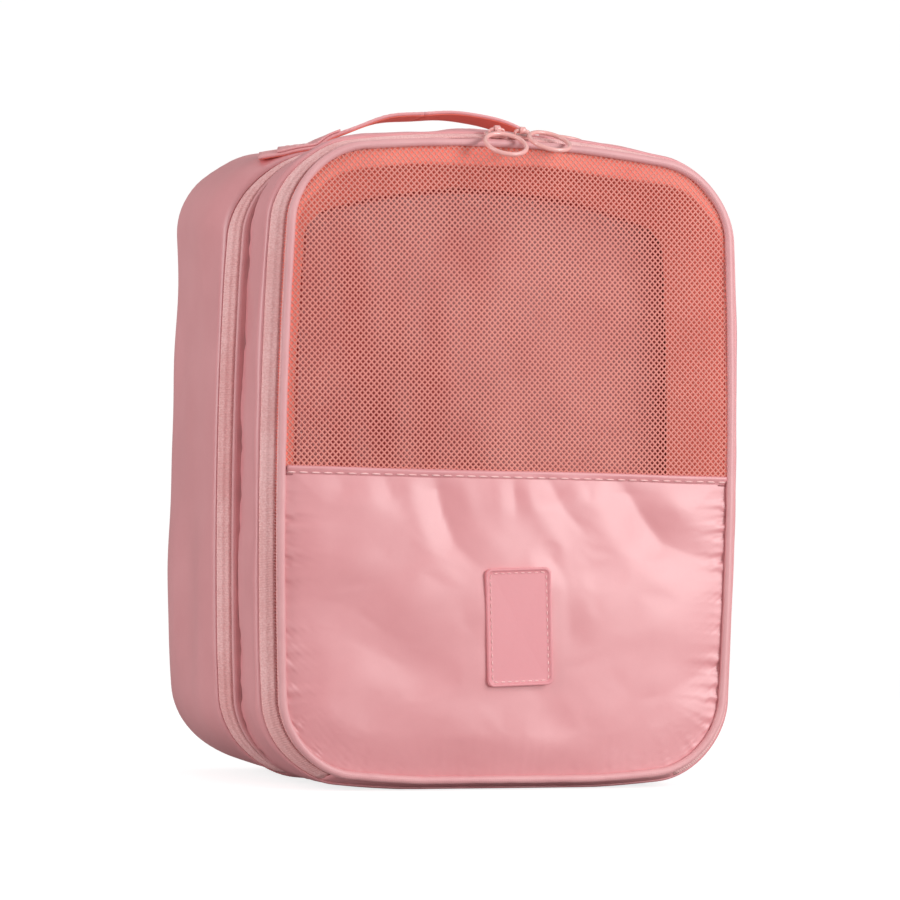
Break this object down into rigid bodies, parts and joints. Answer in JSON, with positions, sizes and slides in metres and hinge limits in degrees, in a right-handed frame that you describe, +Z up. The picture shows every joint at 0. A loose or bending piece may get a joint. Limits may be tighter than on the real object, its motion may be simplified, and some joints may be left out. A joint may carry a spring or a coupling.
{
  "type": "two-compartment travel shoe bag",
  "caption": "Soft upright shoe bag with a mesh-window lid, a shallow front pocket and a deep rear pocket, each with its own zip and ring pulls, and a strap handle on top.",
  "frame": {"origin": "bottom centre of the bag's bounding box, on the surface that it stands on", "axes": "+X to the right as seen from the front lid, +Y from the lid to the back panel, +Z up"},
  "size_m": [0.273, 0.1742, 0.3383],
  "materials": {
    "nylon_body": "plain-woven nylon, matt",
    "nylon_front": "plain-woven nylon, matt",
    "piping": "bias binding over cord, slight sheen",
    "zip_tape": "woven zip tape, matt",
    "zip_coil": "nylon coil",
    "lining": "smooth polyester lining",
    "foam": "closed-cell foam sheet",
    "mesh": "open diamond mesh",
    "label": "soft moulded rubber, satin",
    "strap": "folded nylon strap, matt",
    "painted_zinc": "painted die-cast zinc, satin"
  },
  "bodies": {
    "rear_compartment": {"rear_hinge_cloth": "nylon_body", "second_zip_rear_tape": "zip_tape", "second_zip_rear_coil": "zip_coil", "second_zip_end_tabs": "zip_coil", "rear_gusset": "nylon_body", "rear_gusset_foam": "foam", "rear_gusset_lining": "lining", "back_panel": "nylon_body", "back_board": "foam", "back_lining": "lining", "handle_end_left": "strap", "handle_end_right": "strap"},
    "front_compartment": {"lid_hinge_cloth": "nylon_front", "front_zip_tape": "zip_tape", "front_zip_coil": "zip_coil", "front_zip_end_tabs": "zip_coil", "front_gusset": "nylon_body", "front_gusset_foam": "foam", "front_gusset_lining": "lining", "partition_front_lining": "lining", "partition_board": "foam", "partition_back_lining": "lining", "second_zip_front_tape": "zip_tape", "second_zip_front_coil": "zip_coil", "rear_hinge_flap": "nylon_body"},
    "front_lid": {"lid_piping": "piping", "lid_piping_cord": "foam", "mesh_window": "mesh", "lower_panel": "nylon_front", "lower_panel_lining": "lining", "window_hem": "nylon_front", "soft_label": "label", "lid_zip_tape": "zip_tape", "lid_zip_coil": "zip_coil", "lid_seam_binding": "lining", "lid_hinge_flap": "nylon_front"},
    "handle": {"handle_arch": "strap"},
    "front_slider_left": {"front_slider_left": "painted_zinc"},
    "front_slider_right": {"front_slider_right": "painted_zinc"},
    "rear_slider_left": {"rear_slider_left": "painted_zinc"},
    "rear_slider_right": {"rear_slider_right": "painted_zinc"},
    "front_pull_left": {"front_pull_left": "painted_zinc"},
    "front_pull_right": {"front_pull_right": "painted_zinc"},
    "rear_pull_left": {"rear_pull_left": "painted_zinc"},
    "rear_pull_right": {"rear_pull_right": "painted_zinc"}
  },
  "joints": [
    {"name": "compartment_hinge", "type": "hinge", "parent": "rear_compartment", "child": "front_compartment", "pos_m": [0, -0.01688, 0], "axis": [1, 0, 0], "range_deg": [0, 110]},
    {"name": "lid_hinge", "type": "hinge", "parent": "front_compartment", "child": "front_lid", "pos_m": [0, -0.06448, 0.0024], "axis": [1, 0, 0], "range_deg": [0, 150]},
    {"name": "handle_sway", "type": "hinge", "parent": "rear_compartment", "child": "handle", "pos_m": [-0.02, 0.00367, 0.33052], "axis": [1, 0, 0], "range_deg": [-25, 25], "stiffness_Nm_per_rad": 0.002},
    {"name": "front_slider_left_run", "type": "slide", "parent": "front_compartment", "child": "front_slider_left", "axis": [-0.9987, 0, -0.0506], "range_m": [0, 0.0405]},
    {"name": "front_slider_right_run", "type": "slide", "parent": "front_compartment", "child": "front_slider_right", "axis": [0.9991, 0, -0.0421], "range_m": [0, 0.0425]},
    {"name": "rear_slider_left_run", "type": "slide", "parent": "rear_compartment", "child": "rear_slider_left", "axis": [-0.998, 0, 0.0633], "range_m": [0, 0.034]},
    {"name": "rear_slider_right_run", "type": "slide", "parent": "rear_compartment", "child": "rear_slider_right", "axis": [0.9863, 0, -0.1651], "range_m": [0, 0.0275]},
    {"name": "front_pull_left_hinge", "type": "hinge", "parent": "front_slider_left", "child": "front_pull_left", "pos_m": [-0.00957, -0.0658, 0.32106], "axis": [-0.9999, 0, -0.0162], "range_deg": [0, 195]},
    {"name": "front_pull_right_hinge", "type": "hinge", "parent": "front_slider_right", "child": "front_pull_right", "pos_m": [0.00352, -0.0658, 0.32113], "axis": [-1, 0, 0.006], "range_deg": [0, 195]},
    {"name": "rear_pull_left_hinge", "type": "hinge", "parent": "rear_slider_left", "child": "rear_pull_left", "pos_m": [0.04444, -0.0182, 0.32324], "axis": [-0.9947, 0, 0.1029], "range_deg": [0, 110]},
    {"name": "rear_pull_right_hinge", "type": "hinge", "parent": "rear_slider_right", "child": "rear_pull_right", "pos_m": [0.05807, -0.0182, 0.32162], "axis": [-0.991, 0, 0.1339], "range_deg": [0, 110]}
  ]
}
